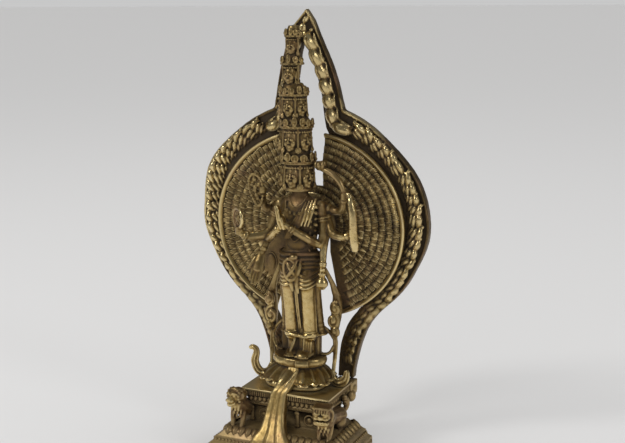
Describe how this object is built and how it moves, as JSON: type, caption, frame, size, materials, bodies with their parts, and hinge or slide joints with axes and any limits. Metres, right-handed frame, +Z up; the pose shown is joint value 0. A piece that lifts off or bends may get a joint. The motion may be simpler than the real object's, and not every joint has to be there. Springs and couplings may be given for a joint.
{
  "type": "thousand-armed avalokiteshvara figure",
  "caption": "Cast brass standing deity with stacked heads, many arms and a fan of small hands in a leaf-shaped halo, on a lotus and a stepped lion throne.",
  "frame": {"origin": "middle of the throne's underside, below the middle of the whole", "axes": "+Z up, the figure faces -Y, +X to the viewer's right"},
  "size_m": [0.1082, 0.0474, 0.1933],
  "materials": {
    "throne_brass": "worn cast brass with dark patina in the recesses",
    "figure_brass": "polished high spots over brown patina",
    "fan_brass": "pale rubbed brass, dark between the rows of hands",
    "halo_brass": "dark patinated brass, bright on the rim and the leaf tufts"
  },
  "bodies": {
    "root": {"lion_throne": "throne_brass", "avalokiteshvara_figure": "figure_brass", "fan_of_hands": "fan_brass", "leaf_halo": "halo_brass"}
  },
  "joints": []
}
